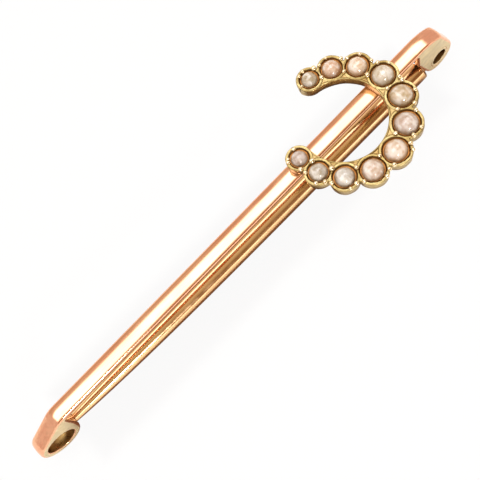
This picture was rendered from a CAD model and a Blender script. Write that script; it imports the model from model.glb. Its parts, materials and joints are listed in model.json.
"""Looks of a gold bar brooch with a pearl-set crescent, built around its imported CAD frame."""
import json
import math
import random

import bmesh
import bpy
from mathutils import Matrix, Vector, noise


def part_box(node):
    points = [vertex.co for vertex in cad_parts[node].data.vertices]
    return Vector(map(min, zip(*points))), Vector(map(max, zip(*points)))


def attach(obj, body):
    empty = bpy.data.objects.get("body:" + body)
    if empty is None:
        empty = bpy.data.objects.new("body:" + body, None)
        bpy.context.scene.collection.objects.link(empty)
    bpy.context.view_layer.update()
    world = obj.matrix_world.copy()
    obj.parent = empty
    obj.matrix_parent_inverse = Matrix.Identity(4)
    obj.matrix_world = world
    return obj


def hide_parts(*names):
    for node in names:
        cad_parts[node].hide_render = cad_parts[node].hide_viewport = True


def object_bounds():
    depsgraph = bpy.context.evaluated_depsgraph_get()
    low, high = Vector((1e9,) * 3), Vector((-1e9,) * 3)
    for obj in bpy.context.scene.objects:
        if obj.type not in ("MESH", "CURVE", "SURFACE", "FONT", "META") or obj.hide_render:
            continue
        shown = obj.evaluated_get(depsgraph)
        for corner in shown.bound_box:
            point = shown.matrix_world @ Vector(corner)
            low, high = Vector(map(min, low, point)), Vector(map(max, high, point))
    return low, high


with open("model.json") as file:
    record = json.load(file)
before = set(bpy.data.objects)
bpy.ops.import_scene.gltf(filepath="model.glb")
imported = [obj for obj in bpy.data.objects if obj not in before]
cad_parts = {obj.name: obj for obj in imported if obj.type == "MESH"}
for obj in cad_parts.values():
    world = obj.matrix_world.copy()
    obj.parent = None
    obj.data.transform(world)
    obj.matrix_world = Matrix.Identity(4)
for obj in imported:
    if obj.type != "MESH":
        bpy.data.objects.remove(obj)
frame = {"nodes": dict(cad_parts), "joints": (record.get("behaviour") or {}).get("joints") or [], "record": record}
cad_low, cad_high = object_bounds()
draw = random.Random(11)

# Places and sizes that the frame gives, in metres
MM = 0.001
mounts = {mount["name"]: mount for mount in frame["record"]["mounts"]}
strip_low, strip_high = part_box("front_strip")
stem_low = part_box("pin_stem")[0]
knuckle_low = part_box("pin_knuckle")[0]
plate_low, plate_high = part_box("crescent_plate")
cheek_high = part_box("hinge_cheek_near")[1]
catch_place = Vector(mounts["catch_eye"]["pos_m"])
hinge_place = Vector(frame["joints"][0]["pos_m"])
bar_y = hinge_place.y
bar_half = (strip_high.y - strip_low.y) / 2
face_z = strip_high.z
under_z = strip_low.z

# Sizes that repeat the CAD design
CATCH_SHAPE = {"start": 0.0, "bend": 2.0 * MM, "knee": 2.0 * MM, "drop": 2.6 * MM}
HINGE_SHAPE = {"start": 0.4 * MM, "bend": 4.5 * MM, "knee": 0.8 * MM, "drop": 2.1 * MM}
BEND_TURN = 33
RIVET_RADIUS = 1.0 * MM
COVER_THICKNESS = 0.25 * MM
KNUCKLE_RADIUS = 1.38 * MM
KNUCKLE_BORE = 1.04 * MM
NECK_TOP = 1.6 * MM
STEM_ROOT = 1.1 * MM
STEM_STRAIGHT = 14.5 * MM
SCOOP_RADIUS = 2.02 * MM
ROOT_TAPER = 1.4 * MM
ROOT_SHARE = 0.9
POINT_TAPER = 0.795
NOSE_LENGTH = 0.35 * MM
SLOT_HALF = 0.48 * MM
SLOT_TOP = 2.45 * MM
SLOT_BACK = 0.3 * MM
SLOT_REACH = 1.8 * MM
LOBE_MARGIN = 0.4 * MM

# Softening that the real metal shows and the CAD leaves out
CROWN_RADIUS = 3.2 * MM
SHOULDER = 0.16 * MM
LIP = 0.09 * MM

# Sides of a round piece
ROUND_SIDES = 64


# ---------------------------------------------------------------- camera, light and floor

LENS_MM = 63.75


def make_camera():
    """Camera above the near side of the bar, rolled so that the bar runs up to the right."""
    right = Vector((0.69737, -0.68612, -0.20656))
    up = Vector((0.71409, 0.64165, 0.27948))
    back = Vector((-0.05922, -0.34250, 0.93765))
    place = (-0.00478, -0.02440, 0.07193)
    data = bpy.data.cameras.new("camera")
    data.lens = LENS_MM
    data.clip_start = 0.001
    camera = bpy.data.objects.new("camera", data)
    bpy.context.scene.collection.objects.link(camera)
    turn = Matrix((right, up, back)).transposed().to_4x4()
    camera.matrix_world = Matrix.Translation(place) @ turn
    bpy.context.scene.camera = camera


class Graph:
    """A node tree, with short ways to add nodes and to join or set their sockets."""

    def __init__(self, tree):
        self.tree = tree

    def set(self, socket, value):
        if isinstance(value, bpy.types.NodeSocket):
            self.tree.links.new(value, socket)
        else:
            socket.default_value = value

    def add(self, kind, inputs=None, **settings):
        node = self.tree.nodes.new("ShaderNode" + kind)
        for name, value in settings.items():
            setattr(node, name, value)
        for name, value in (inputs or {}).items():
            self.set(node.inputs[name], value)
        return node

    def math(self, operation, first, second=0.0):
        return self.add("Math", {0: first, 1: second}, operation=operation).outputs[0]

    def ramp(self, factor, stops):
        node = self.add("ValToRGB", {"Fac": factor})
        elements = node.color_ramp.elements
        while len(elements) < len(stops):
            elements.new(0.5)
        for element, (place, colour) in zip(elements, sorted(stops)):
            element.position = place
            element.color = colour if len(colour) == 4 else (*colour, 1)
        return node.outputs["Color"]

    def mix(self, factor, first, second, blend="MIX"):
        node = self.add("Mix", data_type="RGBA", blend_type=blend)
        self.set(node.inputs["Factor"], factor)
        self.set(node.inputs["A"], first)
        self.set(node.inputs["B"], second)
        return node.outputs["Result"]

    def range(self, value, low, high, to_low=0.0, to_high=1.0):
        inputs = {"Value": value, "From Min": low, "From Max": high, "To Min": to_low, "To Max": to_high}
        return self.add("MapRange", inputs, interpolation_type="SMOOTHSTEP").outputs["Result"]


# Light round the bar: angle from straight up, towards +Y, with the light's share of the panel's strength
PANEL_STRENGTH = 3.2
SKY = [
    (-101, (0.560, 0.520, 0.460)),
    (-96, (0.900, 0.880, 0.840)),
    (-87, (0.900, 0.880, 0.840)),
    (-78, (0.110, 0.060, 0.030)),
    (-50, (0.080, 0.042, 0.018)),
    (-36, (0.185, 0.140, 0.088)),
    (-14, (0.240, 0.195, 0.135)),
    (-4, (0.300, 0.260, 0.210)),
    (1, (1.0, 1.0, 1.0)),
    (25, (1.0, 1.0, 1.0)),
    (31, (0.250, 0.195, 0.150)),
    (52, (0.190, 0.140, 0.100)),
    (62, (0.420, 0.380, 0.340)),
    (90, (0.300, 0.250, 0.210)),
]
# Share of X in a direction past which the bands give way to the plain colour of the room's two ends
PANEL_END = 0.62
PANEL_FADE = 0.12
END_COLOUR = (0.27, 0.215, 0.19, 1)


def make_world():
    """Soft studio light in long bands beside the bar; the camera itself sees plain white."""
    world = bpy.data.worlds.new("studio")
    bpy.context.scene.world = world
    world.use_nodes = True
    world.node_tree.nodes.clear()
    graph = Graph(world.node_tree)
    direction = graph.add("SeparateXYZ", {0: graph.add("TexCoord").outputs["Generated"]})
    x, y, z = direction.outputs
    turn = graph.math("DIVIDE", graph.math("ARCTAN2", y, z), 2 * math.pi)
    stops = [(0.5 + angle / 360, colour) for angle, colour in SKY]
    bands = graph.ramp(graph.math("ADD", turn, 0.5), stops)
    ends = graph.range(graph.math("ABSOLUTE", x), PANEL_END, PANEL_END + PANEL_FADE)
    around = graph.mix(ends, bands, END_COLOUR)
    seen = graph.add("LightPath").outputs["Is Camera Ray"]
    lit = graph.add("Background", {"Color": around, "Strength": PANEL_STRENGTH})
    plain = graph.add("Background", {"Color": (1, 1, 1, 1), "Strength": 1.0})
    both = graph.add("MixShader", {0: seen, 1: lit.outputs[0], 2: plain.outputs[0]})
    graph.tree.links.new(both.outputs[0], graph.add("OutputWorld").inputs["Surface"])


LAMP_SIZE = 24 * MM
LAMP_ENERGY = 0.115
LAMP_DISTANCE = 0.2
LAMP_TURN = math.radians(62)


def make_lamp():
    """Small lamp on the near side, which gives the pearls and beads their glints."""
    data = bpy.data.lights.new("lamp", "AREA")
    data.shape = "DISK"
    data.size = LAMP_SIZE
    data.energy = LAMP_ENERGY
    lamp = bpy.data.objects.new("lamp", data)
    bpy.context.scene.collection.objects.link(lamp)
    target = Vector((12 * MM, bar_y, face_z))
    away = Vector((-0.34, -math.sin(LAMP_TURN), math.cos(LAMP_TURN))).normalized()
    lamp.location = target + LAMP_DISTANCE * away
    lamp.rotation_mode = "QUATERNION"
    lamp.rotation_quaternion = (target - lamp.location).to_track_quat("-Z", "Y")


FLOOR_HALF = 0.6
FLOOR_DROP = 0.01 * MM
FLOOR_CLEAR = 0.94
# The floor is dark close under the bar, where the gold mirrors it, and pale from there on
UNDER_BAR = (0.25, 0.155, 0.105, 1)
PALE = (0.86, 0.85, 0.83, 1)


def make_floor():
    """Pale floor, almost clear to the camera, so that the opened pin still shows when it swings below it."""
    mesh = bpy.data.meshes.new("floor")
    corners = [(FLOOR_HALF * x, FLOOR_HALF * y, 0) for x, y in ((-1, -1), (1, -1), (1, 1), (-1, 1))]
    mesh.from_pydata(corners, [], [(0, 1, 2, 3)])
    floor = bpy.data.objects.new("floor", mesh)
    bpy.context.scene.collection.objects.link(floor)
    floor.location.z = cad_low.z - FLOOR_DROP
    material = bpy.data.materials.new("pale_floor")
    material.use_nodes = True
    material.node_tree.nodes.clear()
    graph = Graph(material.node_tree)
    x, y, _ = graph.add("SeparateXYZ", {0: graph.add("TexCoord").outputs["Object"]}).outputs
    beside = graph.math("ABSOLUTE", graph.math("SUBTRACT", y, bar_y))
    beyond = graph.math("SUBTRACT", graph.math("ABSOLUTE", x), strip_high.x - 3 * MM)
    away = graph.math("MAXIMUM", beside, beyond)
    shade = graph.range(away, 3.2 * MM, 5 * MM)
    paper = graph.add("BsdfDiffuse", {"Color": graph.mix(shade, UNDER_BAR, PALE)})
    clear = graph.add("BsdfTransparent", {"Color": (1, 1, 1, 1)})
    seen = graph.math("MULTIPLY", graph.add("LightPath").outputs["Is Camera Ray"], FLOOR_CLEAR)
    both = graph.add("MixShader", {0: seen, 1: paper.outputs[0], 2: clear.outputs[0]})
    graph.tree.links.new(both.outputs[0], graph.add("OutputMaterial").inputs["Surface"])
    mesh.materials.append(material)


# ---------------------------------------------------------------- materials

FINE_DEPTH = 0.004 * MM
DENT_DEPTH = 0.012 * MM


def material_graph(name, shader_inputs):
    """A new material with its graph and its shader, whose own sockets are set to the values given."""
    material = bpy.data.materials.new(name)
    material.use_nodes = True
    graph = Graph(material.node_tree)
    shader = material.node_tree.nodes["Principled BSDF"]
    for socket, value in shader_inputs.items():
        shader.inputs[socket].default_value = value
    return material, graph, shader


def stretched_noise(graph, size, detail=4.0):
    """Noise whose features measure size = (x, y, z) in metres, on the object's own coordinates."""
    place = graph.add("TexCoord").outputs["Object"]
    mapping = graph.add("Mapping", {"Vector": place, "Scale": tuple(1 / s for s in size)})
    inputs = {"Vector": mapping.outputs[0], "Scale": 1.0, "Detail": detail, "Roughness": 0.6}
    return graph.add("TexNoise", inputs).outputs["Fac"]


def gold(name, light, deep, rough, scratch, relief=(0.2, 0.4), patina=None):
    """Worn gold that drifts between light and deep, with patina in its recesses.

    The relief is how strong its scratches and its soft dents are.
    """
    material, graph, shader = material_graph(name, {"Metallic": 1.0})
    drift = graph.range(stretched_noise(graph, (5 * MM, 1.6 * MM, 1.6 * MM)), 0.36, 0.64)
    colour = graph.mix(drift, (*light, 1), (*deep, 1))
    scratches = stretched_noise(graph, scratch, 2.0)
    marks = graph.range(scratches, 0.35, 0.7, 0.9, 1.0)
    marks = graph.add("CombineColor", {0: marks, 1: marks, 2: marks}).outputs[0]
    colour = graph.mix(1.0, colour, marks, "MULTIPLY")
    if patina:
        worn = graph.add("Attribute", attribute_name="recess").outputs["Fac"]
        colour = graph.mix(worn, colour, (*patina, 1))
    graph.set(shader.inputs["Base Color"], colour)
    smudges = stretched_noise(graph, (1.4 * MM, 0.8 * MM, 0.8 * MM))
    graph.set(shader.inputs["Roughness"], graph.range(smudges, 0.3, 0.7, rough * 0.75, rough * 1.35))
    fine = graph.add("Bump", {"Height": scratches, "Strength": relief[0], "Distance": FINE_DEPTH})
    broad = stretched_noise(graph, (4 * MM, 0.9 * MM, 0.9 * MM), 1.0)
    inputs = {"Height": broad, "Strength": relief[1], "Distance": DENT_DEPTH, "Normal": fine.outputs[0]}
    graph.set(shader.inputs["Normal"], graph.add("Bump", inputs).outputs[0])
    return material


def pearl_material(number, tint, glow):
    """Nacre: a tinted body with pale satin patches and a deep warm rim, under a glossy skin."""
    settings = {
        "Roughness": 0.30, "Coat Weight": 1.0, "Coat Roughness": 0.09, "Coat IOR": 1.7,
        "Subsurface Weight": 0.12, "Subsurface Scale": 0.2 * MM, "IOR": 1.5,
    }
    material, graph, shader = material_graph(f"pearl_{number:02d}_nacre", settings)
    shader.inputs["Subsurface Radius"].default_value = (1.0, 0.7, 0.5)
    drift = stretched_noise(graph, (0.8 * MM, 0.5 * MM, 0.5 * MM), 3.0)
    patches = graph.range(drift, 0.38, 0.62)
    colour = graph.mix(patches, (*tint, 1), (*glow, 1))
    cloud = stretched_noise(graph, (0.55 * MM, 0.9 * MM, 0.7 * MM), 1.0)
    satin = graph.range(cloud, 0.46, 0.66, 0.0, 0.65)
    colour = graph.mix(satin, colour, (0.88, 0.87, 0.83, 1))
    sunk = graph.range(graph.add("Attribute", attribute_name="rim").outputs["Fac"], 0.15, 0.85, 0.0, 0.9)
    edge = tuple(0.40 * a * b for a, b in zip(tint, (1.0, 0.78, 0.55)))
    graph.set(shader.inputs["Base Color"], graph.mix(sunk, colour, (*edge, 1)))
    rings = stretched_noise(graph, (0.22 * MM,) * 3, 3.0)
    inputs = {"Height": rings, "Strength": 0.5, "Distance": 0.008 * MM}
    graph.set(shader.inputs["Normal"], graph.add("Bump", inputs).outputs[0])
    return material


# Sizes of the wear: polishing lines along the bar, and fine speckle on cast and filed metal
ALONG = (7 * MM, 0.14 * MM, 0.14 * MM)
SPECKLE = (0.5 * MM,) * 3
rose_gold = gold("rose_gold", (0.94, 0.56, 0.36), (0.88, 0.46, 0.29), 0.12, ALONG, (0.05, 0.15))
side_gold = gold("side_gold", (0.82, 0.72, 0.48), (0.70, 0.62, 0.42), 0.45, SPECKLE, (0.15, 0.3))
eye_gold = gold("eye_gold", (0.38, 0.24, 0.09), (0.22, 0.12, 0.04), 0.34, SPECKLE)
stem_gold = gold("stem_gold", (0.90, 0.62, 0.34), (0.80, 0.50, 0.26), 0.17, ALONG, (0.06, 0.15))
yellow_gold = gold(
    "yellow_gold", (0.56, 0.45, 0.21), (0.37, 0.27, 0.10), 0.30, SPECKLE, (0.4, 1.6),
    patina=(0.30, 0.12, 0.03),
)
bead_gold = gold("bead_gold", (0.97, 0.88, 0.62), (0.92, 0.78, 0.50), 0.13, SPECKLE)
# Body and patch colour of each pearl, from the upper tip round to the lower one
PEARL_TINTS = [
    ((0.40, 0.32, 0.21), (0.52, 0.47, 0.36)),
    ((0.60, 0.38, 0.25), (0.68, 0.52, 0.40)),
    ((0.68, 0.48, 0.32), (0.74, 0.62, 0.48)),
    ((0.50, 0.41, 0.28), (0.64, 0.58, 0.48)),
    ((0.44, 0.32, 0.18), (0.58, 0.46, 0.31)),
    ((0.48, 0.36, 0.29), (0.60, 0.51, 0.46)),
    ((0.60, 0.41, 0.27), (0.68, 0.55, 0.43)),
    ((0.56, 0.41, 0.31), (0.66, 0.56, 0.48)),
    ((0.42, 0.35, 0.28), (0.56, 0.54, 0.50)),
    ((0.34, 0.27, 0.19), (0.50, 0.46, 0.40)),
    ((0.38, 0.28, 0.22), (0.56, 0.48, 0.44)),
]


# ---------------------------------------------------------------- mesh helpers

def bridge(mesh, rings, closed=True):
    """Joins each ring of vertices to the next with quads."""
    for first, second in zip(rings, rings[1:]):
        count = len(first)
        for k in range(count if closed else count - 1):
            n = (k + 1) % count
            mesh.faces.new((first[k], first[n], second[n], second[k]))


def add_piece(name, mesh, body, materials, replaced=(), sharp=32):
    """Makes an object of a bmesh and ties it to the frame."""
    bmesh.ops.remove_doubles(mesh, verts=mesh.verts, dist=0.0005 * MM)
    bmesh.ops.recalc_face_normals(mesh, faces=mesh.faces)
    data = bpy.data.meshes.new(name)
    mesh.to_mesh(data)
    mesh.free()
    data.polygons.foreach_set("use_smooth", [True] * len(data.polygons))
    data.set_sharp_from_angle(angle=math.radians(sharp))
    for material in materials:
        data.materials.append(material)
    piece = bpy.data.objects.new(name, data)
    bpy.context.scene.collection.objects.link(piece)
    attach(piece, body)
    if replaced:
        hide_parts(*replaced)
    return piece


def keep_flats(piece):
    """Shades the flat faces flat, and the softened edges between them round."""
    modifier = piece.modifiers.new("flats", "WEIGHTED_NORMAL")
    modifier.keep_sharp = True
    modifier.weight = 90


# ---------------------------------------------------------------- bar

def crown(y):
    """How far the bar's outer surface lies below its middle, at a place across it."""
    return CROWN_RADIUS - math.sqrt(CROWN_RADIUS ** 2 - (y - bar_y) ** 2)


def columns(low, high, round_low, round_high, steps=7, middle=10):
    """Places across the bar from low to high, each with how far the outline is drawn in there."""
    first = low + (SHOULDER if round_low else 0)
    last = high - (SHOULDER if round_high else 0)
    places = []
    if round_low:
        for k in range(steps):
            a = math.radians(90 * k / steps)
            places.append((first - SHOULDER * math.cos(a), SHOULDER * (1 - math.sin(a))))
    places += [(first + (last - first) * k / middle, 0.0) for k in range(middle + 1)]
    if round_high:
        for k in range(steps - 1, -1, -1):
            a = math.radians(90 * k / steps)
            places.append((last + SHOULDER * math.cos(a), SHOULDER * (1 - math.sin(a))))
    return [(y, inset + crown(y)) for y, inset in places]


def arc(centre, radius, start, end, steps):
    """Outline points on a circle in the side view, each with the direction towards its centre; degrees."""
    points = []
    for k in range(steps + 1):
        a = math.radians(start + (end - start) * k / steps)
        outward = Vector((math.cos(a), math.sin(a)))
        points.append((Vector(centre) + radius * outward, -outward))
    return points


def angle_of(vector):
    return math.degrees(math.atan2(vector.y, vector.x))


def skin_points(wall_x, loop, radius, start, bend, knee, drop):
    """Outer skin of an end that points to +x: a bend, a knee, straight down, then round to its foot."""
    top = Vector((wall_x + start, face_z - bend))
    turned = 90 - BEND_TURN
    along = Vector((math.cos(math.radians(turned)), math.sin(math.radians(turned))))
    knee_centre = top + (bend - knee) * along
    reach = loop - knee_centre
    leave = angle_of(reach) + math.degrees(math.acos((knee - radius) / reach.length))
    back = Vector((wall_x, face_z - drop)) - loop
    arrive = angle_of(back) + math.degrees(math.acos(radius / back.length)) - 360
    flat = [(Vector((wall_x, face_z)), Vector((0, -1)))] if start else []
    over = arc(top, bend, 90, turned, 14) + arc(knee_centre, knee, turned, leave, 10)[1:]
    high, low = over[-1][0], arc(loop, radius, leave, leave, 1)[0][0]
    straight = [(high.lerp(low, k / 6), over[-1][1]) for k in range(1, 6)]
    return flat + over + straight + arc(loop, radius, leave, arrive, 80)


def end_outline(wall_x, loop, radius, start, bend, knee, drop):
    """Whole side view of an end: its skin, then up the wall that faces the other end."""
    points = skin_points(wall_x, loop, radius, start, bend, knee, drop)
    into = Vector((1, 0))
    points += [(Vector((wall_x, face_z - drop)), into), (Vector((wall_x, under_z - SHOULDER)), into)]
    points += [(Vector((wall_x, under_z)), Vector((0, 0)))]
    return points


def mirrored(outline):
    flip = Matrix(((-1, 0), (0, 1)))
    return [(flip @ point, flip @ into) for point, into in outline]


def plate(outline, across, holes=()):
    """Bmesh of an outline drawn in by each column's inset, with round holes right through."""
    mesh = bmesh.new()
    rings = [
        [mesh.verts.new((p.x + inset * into.x, y, p.y + inset * into.y)) for p, into in outline]
        for y, inset in across
    ]
    bridge(mesh, rings)
    ends = [[rings[0]], [rings[-1]]]
    for centre, radius, lip in holes:
        bore = [
            [mesh.verts.new((p.x, y, p.y)) for p, _ in arc(centre, r, 0, 352.5, 47)]
            for y, r in bore_columns(across[0][0], across[-1][0], radius, lip)
        ]
        bridge(mesh, bore)
        for end, ring in zip(ends, (bore[0], bore[-1])):
            end.append(ring)
    for end in ends:
        edges = [edge for ring in end for edge in mesh_ring(mesh, ring)]
        caps = bmesh.ops.triangle_fill(mesh, edges=edges, use_beauty=True)["geom"]
        for face in (g for g in caps if isinstance(g, bmesh.types.BMFace)):
            face.material_index = 1
    return mesh


def mesh_ring(mesh, ring):
    """The edges that join a closed ring's vertices."""
    return [mesh.edges.get(pair) or mesh.edges.new(pair) for pair in zip(ring, ring[1:] + ring[:1])]


def bore_columns(low, high, radius, lip, steps=4):
    """Places along a bore, with its radius there; lip is the rounding of its two rims."""
    rims = [math.radians(90 * k / steps) for k in range(steps + 1)]
    near = [(low + lip * (1 - math.cos(a)), radius + lip * (1 - math.sin(a))) for a in rims]
    far = [(low + high - y, r) for y, r in reversed(near)]
    return near + far


def make_strip():
    """Front strip: a slightly domed face with soft shoulders, over flat sides."""
    mesh = bmesh.new()
    foot = 0.05 * MM
    section = [(y, face_z - inset) for y, inset in columns(strip_low.y, strip_high.y, True, True)]
    section += [(strip_high.y, under_z + foot), (strip_high.y - foot, under_z)]
    section += [(strip_low.y + foot, under_z), (strip_low.y, under_z + foot)]
    length = strip_high.x - strip_low.x
    steps = 60
    rings = [
        [mesh.verts.new((strip_low.x + length * k / steps, y, z)) for y, z in section]
        for k in range(steps + 1)
    ]
    bridge(mesh, rings)
    for ring in (rings[0], rings[-1]):
        mesh.faces.new(ring)
    keep_flats(add_piece("bar_strip", mesh, "bar", [rose_gold], ["front_strip"]))


def mark_bore(mesh, centre, radius, index):
    """Gives the faces on a bore's wall the material with that index."""
    for face in mesh.faces:
        middle = face.calc_center_median()
        away = math.hypot(middle.x - centre.x, middle.z - centre.y)
        if away < radius * 1.02 and abs(face.normal.y) < 0.5:
            face.material_index = index


def make_catch():
    """Catch loop: one thick plate with its eye, and a slot from below for the pin's point."""
    centre = Vector((catch_place.x, catch_place.z))
    eye = mounts["catch_eye"]["dims"]["r_mm"] * MM
    loop = Vector((-centre.x, centre.y))
    outline = mirrored(end_outline(-strip_low.x, loop, centre.y, **CATCH_SHAPE))
    mesh = plate(outline, columns(strip_low.y, strip_high.y, True, True), [(centre, eye, LIP)])
    bmesh.ops.recalc_face_normals(mesh, faces=mesh.faces)
    mark_bore(mesh, centre, eye, 2)
    golds = [rose_gold, side_gold, eye_gold]
    piece = add_piece("catch_end", mesh, "bar", golds, ["catch_loop"])
    slot_low = Vector((stem_low.x - SLOT_BACK, bar_y - SLOT_HALF, -1 * MM))
    slot_high = Vector((stem_low.x + SLOT_REACH, bar_y + SLOT_HALF, SLOT_TOP))
    cutter = bmesh.new()
    bmesh.ops.create_cube(cutter, size=1.0)
    for vertex in cutter.verts:
        share = vertex.co + Vector((0.5, 0.5, 0.5))
        vertex.co = [a + (b - a) * s for a, b, s in zip(slot_low, slot_high, share)]
    cut_away(piece, cutter)
    keep_flats(piece)


def cut_away(piece, cutter):
    """Takes the cutter's space out of a piece, as the CAD does."""
    data = bpy.data.meshes.new("cutter")
    cutter.to_mesh(data)
    cutter.free()
    block = bpy.data.objects.new("cutter", data)
    bpy.context.scene.collection.objects.link(block)
    modifier = piece.modifiers.new("cut", "BOOLEAN")
    modifier.operation = "DIFFERENCE"
    modifier.solver = "EXACT"
    modifier.object = block
    evaluated = piece.evaluated_get(bpy.context.evaluated_depsgraph_get())
    cut = bpy.data.meshes.new_from_object(evaluated)
    cut.set_sharp_from_angle(angle=math.radians(32))
    piece.modifiers.clear()
    piece.data = cut
    bpy.data.objects.remove(block)


def make_hinge():
    """Hinge end: two cheeks, and the cover that carries the strip's skin round between them."""
    centre = Vector((hinge_place.x, hinge_place.z))
    radius = cheek_high.x - centre.x
    outline = end_outline(strip_high.x, centre, radius, **HINGE_SHAPE)
    inner_near = cheek_high.y
    inner_far = 2 * bar_y - inner_near
    room, lip = 0.01 * MM, 0.03 * MM
    hole = [(centre, RIVET_RADIUS + room, lip)]
    near = plate(outline, columns(strip_low.y, inner_near, True, False), hole)
    far = plate(outline, columns(inner_far, strip_high.y, False, True), hole)
    for name, mesh in (("near", near), ("far", far)):
        golds = [rose_gold, side_gold]
        keep_flats(add_piece(f"cheek_{name}", mesh, "bar", golds, [f"hinge_cheek_{name}"]))
    foot = face_z - HINGE_SHAPE["drop"]
    skin = [
        (p, into) for p, into in skin_points(strip_high.x, centre, radius, **HINGE_SHAPE)
        if p.y >= centre.y - room and (p.x > centre.x or p.y > foot)
    ]
    lining = [(p + COVER_THICKNESS * into, Vector((0, 0))) for p, into in reversed(skin)]
    mesh = plate(skin + lining, columns(inner_near, inner_far, False, False))
    keep_flats(add_piece("end_cover", mesh, "bar", [rose_gold, rose_gold], ["hinge_cover"]))


def make_rivet():
    """Hollow rivet: a tube through both cheeks with softly rounded rims, a hair proud of them."""
    hole = mounts["rivet_eye"]["dims"]["r_mm"] * MM
    proud = 0.03 * MM
    rim = (RIVET_RADIUS - hole) / 2
    steps = 8
    profile = []
    for side in (-1, 1):
        for k in range(steps + 1):
            a = math.radians(180 * k / steps)
            r = (RIVET_RADIUS + hole) / 2 + side * rim * math.cos(a)
            profile.append((r, bar_y + side * (bar_half - rim * 0.6 + proud + rim * 0.6 * math.sin(a))))
    mesh = bmesh.new()
    rings = []
    for k in range(ROUND_SIDES):
        a = 2 * math.pi * k / ROUND_SIDES
        rings.append([
            mesh.verts.new((hinge_place.x + r * math.cos(a), y, hinge_place.z + r * math.sin(a)))
            for r, y in profile
        ])
    bridge(mesh, rings + rings[:1])
    bmesh.ops.recalc_face_normals(mesh, faces=mesh.faces)
    mark_bore(mesh, Vector((hinge_place.x, hinge_place.z)), hole, 1)
    add_piece("rivet_tube", mesh, "bar", [side_gold, eye_gold], ["hinge_rivet"], 50)


# ---------------------------------------------------------------- pin

STEM_STEPS = 150
NOSE_STEPS = 12


def stem_radius_at(s, length):
    """Radius of the stem at a distance s from its root."""
    full = mounts["stem"]["dims"]["r_mm"] * MM
    if s < ROOT_TAPER:
        swell = math.sin(math.radians(90 * s / ROOT_TAPER))
        return full * (ROOT_SHARE + (1 - ROOT_SHARE) * swell)
    u = max(0.0, (s - STEM_STRAIGHT) / (length - STEM_STRAIGHT))
    radius = full * (1 - POINT_TAPER * u ** 3) ** 0.6
    short = (length - s) / NOSE_LENGTH
    return radius if short >= 1 else radius * math.sqrt(max(0.0, 1 - (1 - short) ** 2))


def make_stem():
    """Pin stem: round, straight, then a long taper to a blunt nose, on its own slightly climbing line."""
    axis = Vector(mounts["stem"]["axis"])
    middle = Vector(mounts["stem"]["pos_m"])
    root = middle + axis * ((hinge_place.x - STEM_ROOT - middle.x) / axis.x)
    tip = middle + axis * ((stem_low.x - middle.x) / axis.x)
    length = (tip - root).length
    side = Vector((0, 1, 0))
    up = side.cross(axis)
    edge = 0.08 * MM
    stations = [(0.0, 0.88), (0.25 * edge, 0.95), (edge, 1.0)]
    run = length - NOSE_LENGTH - edge
    body = [(edge + run * k / STEM_STEPS, 1.0) for k in range(1, STEM_STEPS + 1)]
    nose_turns = [math.radians(90 * k / NOSE_STEPS) for k in range(1, NOSE_STEPS)]
    nose = [(length - NOSE_LENGTH * (1 - math.sin(a)), 1.0) for a in nose_turns]
    mesh = bmesh.new()
    rings = []
    for s, share in stations + body + nose:
        r = stem_radius_at(s, length) * share
        rings.append([
            mesh.verts.new(root + axis * s + (side * math.cos(a) + up * math.sin(a)) * r)
            for a in (2 * math.pi * k / ROUND_SIDES for k in range(ROUND_SIDES))
        ])
    bridge(mesh, rings)
    mesh.faces.new(rings[0])
    point = mesh.verts.new(tip)
    for first, second in zip(rings[-1], rings[-1][1:] + rings[-1][:1]):
        mesh.faces.new((first, second, point))
    piece = add_piece("stem", mesh, "pin", [stem_gold], ["pin_stem"], 60)
    cutter = bmesh.new()
    turn = Matrix.Translation(hinge_place) @ Matrix.Rotation(math.radians(90), 4, "X")
    sizes = {"radius1": SCOOP_RADIUS, "radius2": SCOOP_RADIUS, "depth": 4 * MM}
    bmesh.ops.create_cone(cutter, cap_ends=True, segments=128, matrix=turn, **sizes)
    cut_away(piece, cutter)


def make_knuckle():
    """Knuckle: a disc that turns on the rivet, with a neck let into the stem's root."""
    centre = Vector((hinge_place.x, hinge_place.z))
    drop = NECK_TOP - centre.y
    leave = 180 - math.degrees(math.asin(drop / KNUCKLE_RADIUS))
    start = knuckle_low.x
    foot = centre.y - KNUCKLE_RADIUS
    outline = [(Vector((start, NECK_TOP)), Vector((0, -1))), (Vector((start, foot)), Vector((0, 1)))]
    outline += arc(centre, KNUCKLE_RADIUS, -90, leave, 60)
    edge = 0.06 * MM
    across = []
    for k in range(5):
        a = math.radians(90 * k / 4)
        across.append((knuckle_low.y + edge * (1 - math.cos(a)), edge * (1 - math.sin(a))))
    across += [(2 * bar_y - y, inset) for y, inset in reversed(across)]
    mesh = plate(outline, across, [(centre, KNUCKLE_BORE, 0.02 * MM)])
    keep_flats(add_piece("knuckle", mesh, "pin", [stem_gold, stem_gold], ["pin_knuckle"]))


# ---------------------------------------------------------------- crescent

class Seat:
    """A pearl's place in the crescent, taken from the CAD pearl's box."""

    def __init__(self, number):
        self.number = number
        self.node = f"pearl_{number:02d}"
        low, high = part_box(self.node)
        self.radius = (high.x - low.x) / 2
        self.centre = Vector(((low.x + high.x) / 2, (low.y + high.y) / 2, high.z - self.radius))


PEARLS = sum(name.startswith("pearl_") for name in frame["nodes"])
seats = [Seat(number) for number in range(1, PEARLS + 1)]


def circle_through(a, b, c):
    """Centre of the circle through three points, seen from above."""
    m = Matrix(((b.x - a.x, b.y - a.y), (c.x - a.x, c.y - a.y)))
    sums = [(p.x ** 2 - a.x ** 2 + p.y ** 2 - a.y ** 2) / 2 for p in (b, c)]
    return m.inverted() @ Vector(sums)


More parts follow.
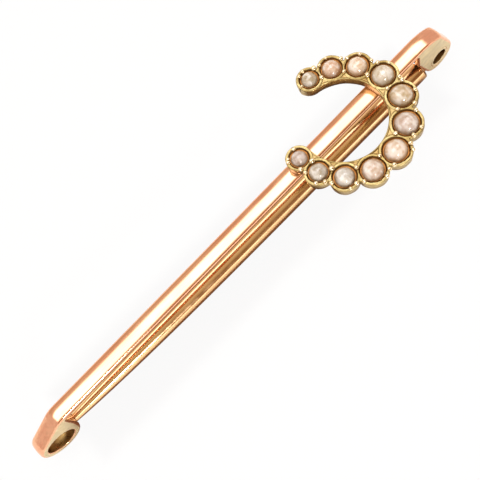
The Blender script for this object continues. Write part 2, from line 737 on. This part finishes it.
ring_centre = circle_through(seats[0].centre, seats[PEARLS // 2].centre, seats[-1].centre)
ring_radius = (seats[0].centre.xy - ring_centre).length
for seat in seats:
    seat.angle = angle_of(seat.centre.xy - ring_centre)
    if seat.angle > seats[0].angle:
        seat.angle -= 360


def ring_point(radius, angle):
    """A point round the crescent's own centre, with the angle in degrees."""
    a = math.radians(angle)
    return ring_centre + radius * Vector((math.cos(a), math.sin(a)))


def lobe_reach(seat, angle, side):
    """Where a ray from the crescent's centre meets the scallop round a pearl: side 1 outside, -1 inside."""
    lobe = seat.radius + LOBE_MARGIN
    off = math.radians(angle - seat.angle)
    across = ring_radius * math.sin(off)
    if abs(across) > lobe:
        return None
    return ring_radius * math.cos(off) + side * math.sqrt(lobe ** 2 - across ** 2)


def outer_reach(angle):
    """Radius of the scalloped outer edge."""
    reaches = [r for r in (lobe_reach(seat, angle, 1) for seat in seats) if r is not None]
    return max(reaches + [ring_radius])


def inner_reach(angle):
    """Radius of the smooth inner edge; past the end pearls it follows their own scallops."""
    if angle > seats[0].angle:
        return lobe_reach(seats[0], angle, -1) or ring_radius
    if angle < seats[-1].angle:
        return lobe_reach(seats[-1], angle, -1) or ring_radius
    share = (seats[0].angle - angle) / (seats[0].angle - seats[-1].angle) * (PEARLS - 1)
    k = min(int(share), PEARLS - 2)
    blend = share - k
    blend = blend * blend * (3 - 2 * blend)
    return ring_radius - LOBE_MARGIN - (seats[k].radius * (1 - blend) + seats[k + 1].radius * blend)


def smooth(value, low, high):
    t = min(1.0, max(0.0, (value - low) / (high - low)))
    return t * t * (3 - 2 * t)


RIM_TOP = plate_high.z
CREVICE = 0.20 * MM
VALLEY = 0.07 * MM
WOBBLE = 0.035 * MM


def ripple(point, size, seed=0.0):
    """Smooth noise from -1 to 1 over the plate, with features of the given size."""
    return noise.noise(Vector((point.x / size, point.y / size, seed)))


def crescent_height(point, edge):
    """Height of the crescent's upper side, and how deep in a recess that place is, from 0 to 1."""
    clear = min((point - seat.centre.xy).length - seat.radius for seat in seats)
    crevice = 1 - smooth(clear, 0.05 * MM, 0.19 * MM + 0.05 * MM * ripple(point, 0.6 * MM))
    valley = smooth(clear, 0.2 * MM, 0.34 * MM) * smooth(edge, 0.08 * MM, 0.18 * MM)
    soft = 0.09 * MM
    fall = soft - math.sqrt(max(0.0, soft ** 2 - (soft - edge) ** 2)) if edge < soft else 0.0
    dents = 0.018 * MM * (1 + ripple(point, 0.35 * MM, 5.0))
    height = RIM_TOP - CREVICE * crevice - VALLEY * valley - fall - dents
    return height, min(1.0, crevice ** 0.7 + 0.35 * valley)


def edge_distance(point, radial):
    """Distance from a point on the plate to its scalloped edge; radial is that distance along the ray."""
    inside = max(seat.radius + LOBE_MARGIN - (point - seat.centre.xy).length for seat in seats)
    return max(0.0, min(radial, inside) if inside > 0 else radial * 0.5)


def make_crescent():
    """Crescent: a scalloped plate with a raised rim, a thin inner thread and grooves round the pearls."""
    first_lobe, last_lobe = (
        math.degrees(math.asin((seat.radius + LOBE_MARGIN) / ring_radius)) for seat in (seats[0], seats[-1])
    )
    arc_steps, tip_steps, cross_steps = 520, 26, 52
    start, end = seats[0].angle, seats[-1].angle
    turns = [math.radians(90 * k / tip_steps) for k in range(tip_steps + 1)]
    angles = [start + first_lobe * math.cos(turn) for turn in turns[:-1]]
    angles += [start + (end - start) * k / arc_steps for k in range(arc_steps + 1)]
    angles += [end - last_lobe * math.sin(turn) for turn in turns[1:]]
    mesh = bmesh.new()
    recess = mesh.verts.layers.float.new("recess")
    rings = []
    for angle in angles:
        near, far = inner_reach(angle), outer_reach(angle)
        far += WOBBLE * ripple(ring_point(far, angle), 0.55 * MM, 2.0)
        ring = []
        for k in range(cross_steps + 1):
            r = near + (far - near) * (1 - math.cos(math.pi * k / cross_steps)) / 2
            point = ring_point(r, angle)
            height, depth = crescent_height(point, min(edge_distance(point, far - r), r - near))
            vertex = mesh.verts.new((point.x, point.y, height))
            vertex[recess] = depth
            ring.append(vertex)
        width = far - near
        draft = min(0.07 * MM, width / 3)
        side = [(0, 0.12), (0, 0.35), (draft, 0.7), (draft, 0.96), (1.6 * draft, 1.0)]
        walls = [(far - inset, share) for inset, share in side]
        walls += [(near + inset, share) for inset, share in reversed(side)]
        for r, share in walls:
            point = ring_point(r, angle)
            vertex = mesh.verts.new((point.x, point.y, RIM_TOP + (plate_low.z - RIM_TOP) * share))
            vertex[recess] = 0.25 * smooth(share, 0.3, 1.0)
            ring.append(vertex)
        rings.append(ring)
    bridge(mesh, rings)
    add_piece("crescent", mesh, "bar", [yellow_gold], ["crescent_plate"], 50)


def bead(mesh, place, radius):
    """One raised bead, a little irregular, sunk in the metal."""
    turn = Matrix.Rotation(draw.uniform(0, math.pi), 4, "Z")
    stretch = Matrix.Diagonal((draw.uniform(0.9, 1.15), draw.uniform(0.9, 1.1), draw.uniform(0.85, 1.05), 1))
    matrix = Matrix.Translation(place) @ turn @ stretch
    made = bmesh.ops.create_icosphere(mesh, subdivisions=3, radius=radius, matrix=matrix)
    for vertex in made["verts"]:
        push = noise.noise(vertex.co / (0.25 * MM)) * 0.09 * radius
        vertex.co += (vertex.co - place).normalized() * push


OUTER_BEAD = 0.20 * MM
INNER_BEAD = 0.22 * MM
BACK_BEAD = 0.18 * MM
TIP_BEAD = 0.15 * MM
BEAD_RISE = 0.04 * MM


def make_beads():
    """Beads: a pair outside each cleft and one inside it, one on each scallop's back, two on each tip."""
    mesh = bmesh.new()
    top = RIM_TOP + BEAD_RISE
    places = []
    for first, second in zip(seats, seats[1:]):
        middle = (first.angle + second.angle) / 2
        reach = (first.radius + second.radius) / 2
        for off in (-2.6, 2.6):
            angle = middle + off + draw.uniform(-1, 1)
            places.append((ring_point(ring_radius + 0.74 * reach, angle), OUTER_BEAD))
        angle = middle + draw.uniform(-1, 1)
        places.append((ring_point(ring_radius - 0.66 * reach, angle), INNER_BEAD))
    for seat in seats:
        angle = seat.angle + draw.uniform(-7, 7)
        places.append((ring_point(ring_radius + seat.radius + 0.4 * LOBE_MARGIN, angle), BACK_BEAD))
    for seat, way in ((seats[0], 1), (seats[-1], -1)):
        for turn in (35, 100):
            a = math.radians(seat.angle + way * turn)
            reach = seat.radius + 0.35 * LOBE_MARGIN
            places.append((seat.centre.xy + reach * Vector((math.cos(a), math.sin(a))), TIP_BEAD))
    for place, radius in places:
        bead(mesh, place.to_3d() + Vector((0, 0, top)), radius * draw.uniform(0.88, 1.16))
    add_piece("beads", mesh, "bar", [bead_gold], ["setting_grains"], 60)


def make_pearl(seat):
    """A seed pearl: a slightly lopsided sphere, cut flat where it sits."""
    mesh = bmesh.new()
    bmesh.ops.create_uvsphere(mesh, u_segments=64, v_segments=40, radius=seat.radius)
    spin = Matrix.Rotation(draw.uniform(0, math.tau), 3, "Z")
    turn = spin @ Matrix.Rotation(draw.uniform(-0.6, 0.6), 3, "X")
    stretch = Matrix.Diagonal((draw.uniform(0.97, 1.02), draw.uniform(0.96, 1.01), draw.uniform(0.94, 1.0)))
    lumps = Vector((draw.uniform(-9, 9), draw.uniform(-9, 9), draw.uniform(-9, 9)))
    floor_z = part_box(seat.node)[0].z
    rim = mesh.verts.layers.float.new("rim")
    for vertex in mesh.verts:
        push = 1 + 0.025 * noise.noise(vertex.co / (0.9 * MM) + lumps)
        co = turn @ (stretch @ vertex.co) * push + seat.centre
        co.z = max(co.z, floor_z)
        vertex.co = co
        vertex[rim] = 1 - max(0.0, (co - seat.centre).normalized().z)
    tint, glow = PEARL_TINTS[seat.number - 1]
    material = pearl_material(seat.number, tint, glow)
    add_piece(f"seed_{seat.node}", mesh, "bar", [material], [seat.node], 60)


# ---------------------------------------------------------------- build

bpy.context.scene.view_settings.view_transform = "Standard"
make_camera()
make_world()
make_lamp()
make_floor()
make_strip()
make_catch()
make_hinge()
make_rivet()
make_stem()
make_knuckle()
make_crescent()
make_beads()
for seat in seats:
    make_pearl(seat)
